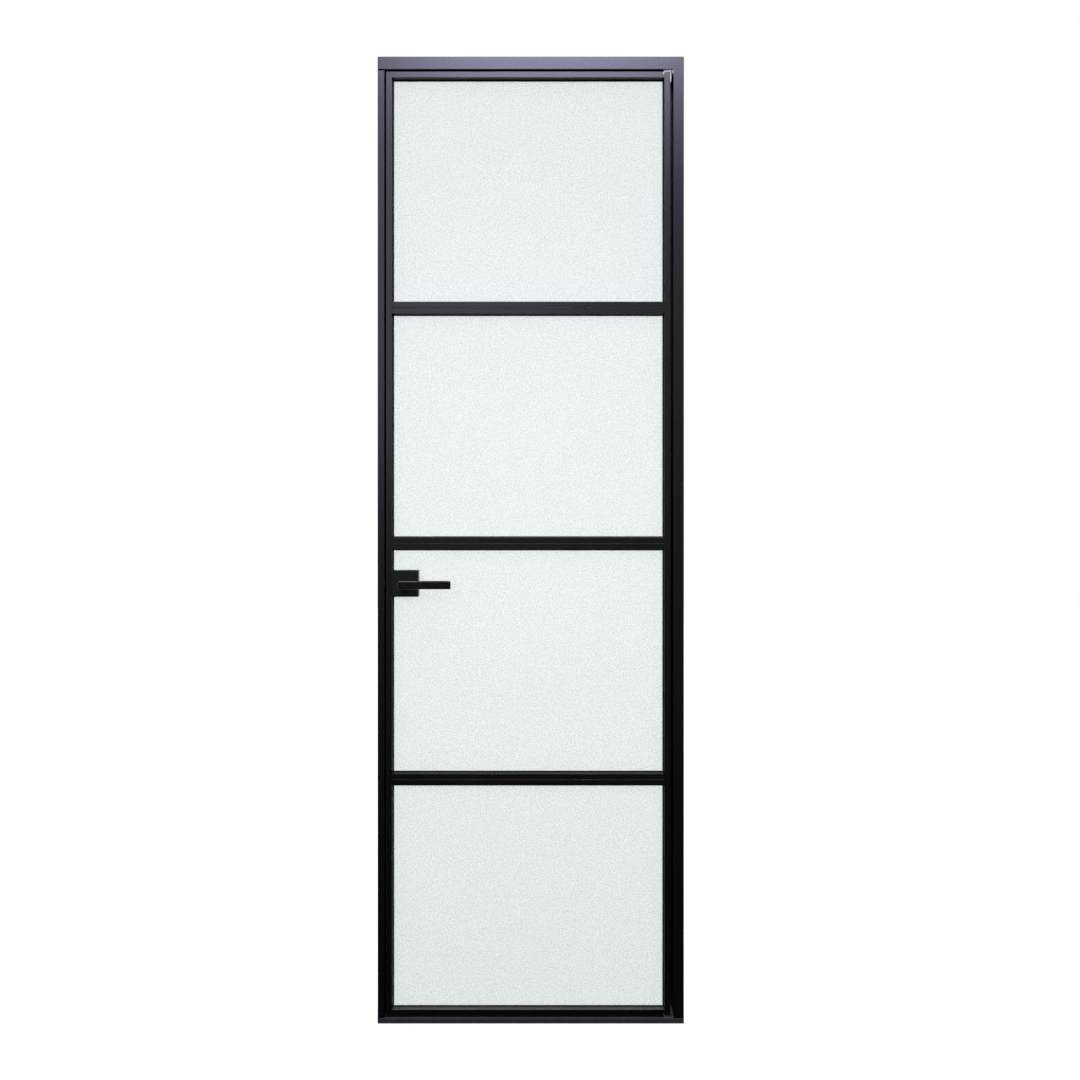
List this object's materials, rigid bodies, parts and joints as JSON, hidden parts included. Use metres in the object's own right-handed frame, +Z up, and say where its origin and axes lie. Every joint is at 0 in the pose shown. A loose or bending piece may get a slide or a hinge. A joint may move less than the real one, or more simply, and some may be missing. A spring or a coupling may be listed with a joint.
{
  "type": "glass door",
  "caption": "Narrow-framed black swing door with frosted glass panes between glazing bars, hung in its frame on corner pivots, with lever handles and a sliding latch.",
  "frame": {"origin": "on the floor, midway between the outer edges of the frame and midway between the two levers' outer faces, which is the middle plane of the shut leaf", "axes": "+Z up; the front, which the leaf opens towards, faces -Y; +X to the right seen from the front, towards the pivots"},
  "size_m": [0.697, 0.1448, 2.2],
  "materials": {
    "powder_coat": "satin black powder coat on aluminium",
    "lever_coat": "matt black lacquer on cast zinc",
    "frosted_glass": "finely textured, frosted",
    "black_rubber": "matt",
    "plain_aluminium": "as cast and sawn",
    "cast_zinc": "as cast",
    "bright_steel": "brushed stainless",
    "plated_steel": "zinc plated",
    "bronze": "sintered",
    "black_nylon": "moulded"
  },
  "bodies": {
    "frame": {"head_frame": "powder_coat", "lock_jamb": "powder_coat", "hinge_jamb": "powder_coat", "threshold": "powder_coat", "head_seal": "black_rubber", "lock_jamb_seal": "black_rubber", "hinge_jamb_seal": "black_rubber", "lock_corner_cleat": "plain_aluminium", "hinge_corner_cleat": "plain_aluminium", "jamb_foot_screws": "plated_steel", "strike_plate": "lever_coat", "strike_screws": "plated_steel", "strike_box": "black_nylon", "strike_magnet": "plated_steel", "top_pivot_plate": "bright_steel", "bottom_pivot_plate": "bright_steel", "top_pivot_pin": "bright_steel", "bottom_pivot_pin": "bright_steel", "pivot_plate_screws": "plated_steel", "bottom_thrust_washer": "bright_steel"},
    "leaf": {"top_thrust_washer": "bright_steel", "lock_stile": "powder_coat", "hinge_stile": "powder_coat", "top_rail": "powder_coat", "bottom_rail": "powder_coat", "glazing_bar_1": "powder_coat", "glazing_bar_2": "powder_coat", "glazing_bar_3": "powder_coat", "glass_pane_1": "frosted_glass", "glass_pane_2": "frosted_glass", "glass_pane_3": "frosted_glass", "glass_pane_4": "frosted_glass", "glazing_gaskets_1": "black_rubber", "glazing_gaskets_2": "black_rubber", "glazing_gaskets_3": "black_rubber", "glazing_gaskets_4": "black_rubber", "setting_blocks": "black_rubber", "bar_screws": "plated_steel", "leaf_corner_cleats": "plain_aluminium", "top_pivot_block": "cast_zinc", "bottom_pivot_block": "cast_zinc", "top_pivot_strap": "bright_steel", "bottom_pivot_strap": "bright_steel", "strap_screws": "plated_steel", "pivot_bushes": "bronze", "lock_case": "cast_zinc", "lock_faceplate": "lever_coat", "faceplate_screws": "lever_coat", "front_rose": "lever_coat", "rear_rose": "lever_coat", "rose_screws": "lever_coat", "rose_sleeve_nuts": "plated_steel", "lever_bushes": "black_nylon"},
    "levers": {"front_lever": "lever_coat", "rear_lever": "lever_coat", "lever_clips": "plated_steel", "lever_grub_screws": "plated_steel", "spindle": "plated_steel", "follower": "plated_steel"},
    "latch": {"latch_bolt": "lever_coat"}
  },
  "joints": [
    {"name": "leaf_swing", "type": "hinge", "parent": "frame", "child": "leaf", "pos_m": [0.3111, -0.0105, 0], "axis": [0, 0, 1], "range_deg": [0, 100]},
    {"name": "lever_turn", "type": "hinge", "parent": "leaf", "child": "levers", "pos_m": [-0.2857, 0, 1.00125], "axis": [0, 1, 0], "range_deg": [0, 45], "stiffness_Nm_per_rad": 1.5, "springref_deg": -22.92},
    {"name": "latch_slide", "type": "slide", "parent": "leaf", "child": "latch", "axis": [-1, 0, 0], "range_m": [0, 0.009], "stiffness_N_per_m": 60, "springref_m": -0.003}
  ]
}
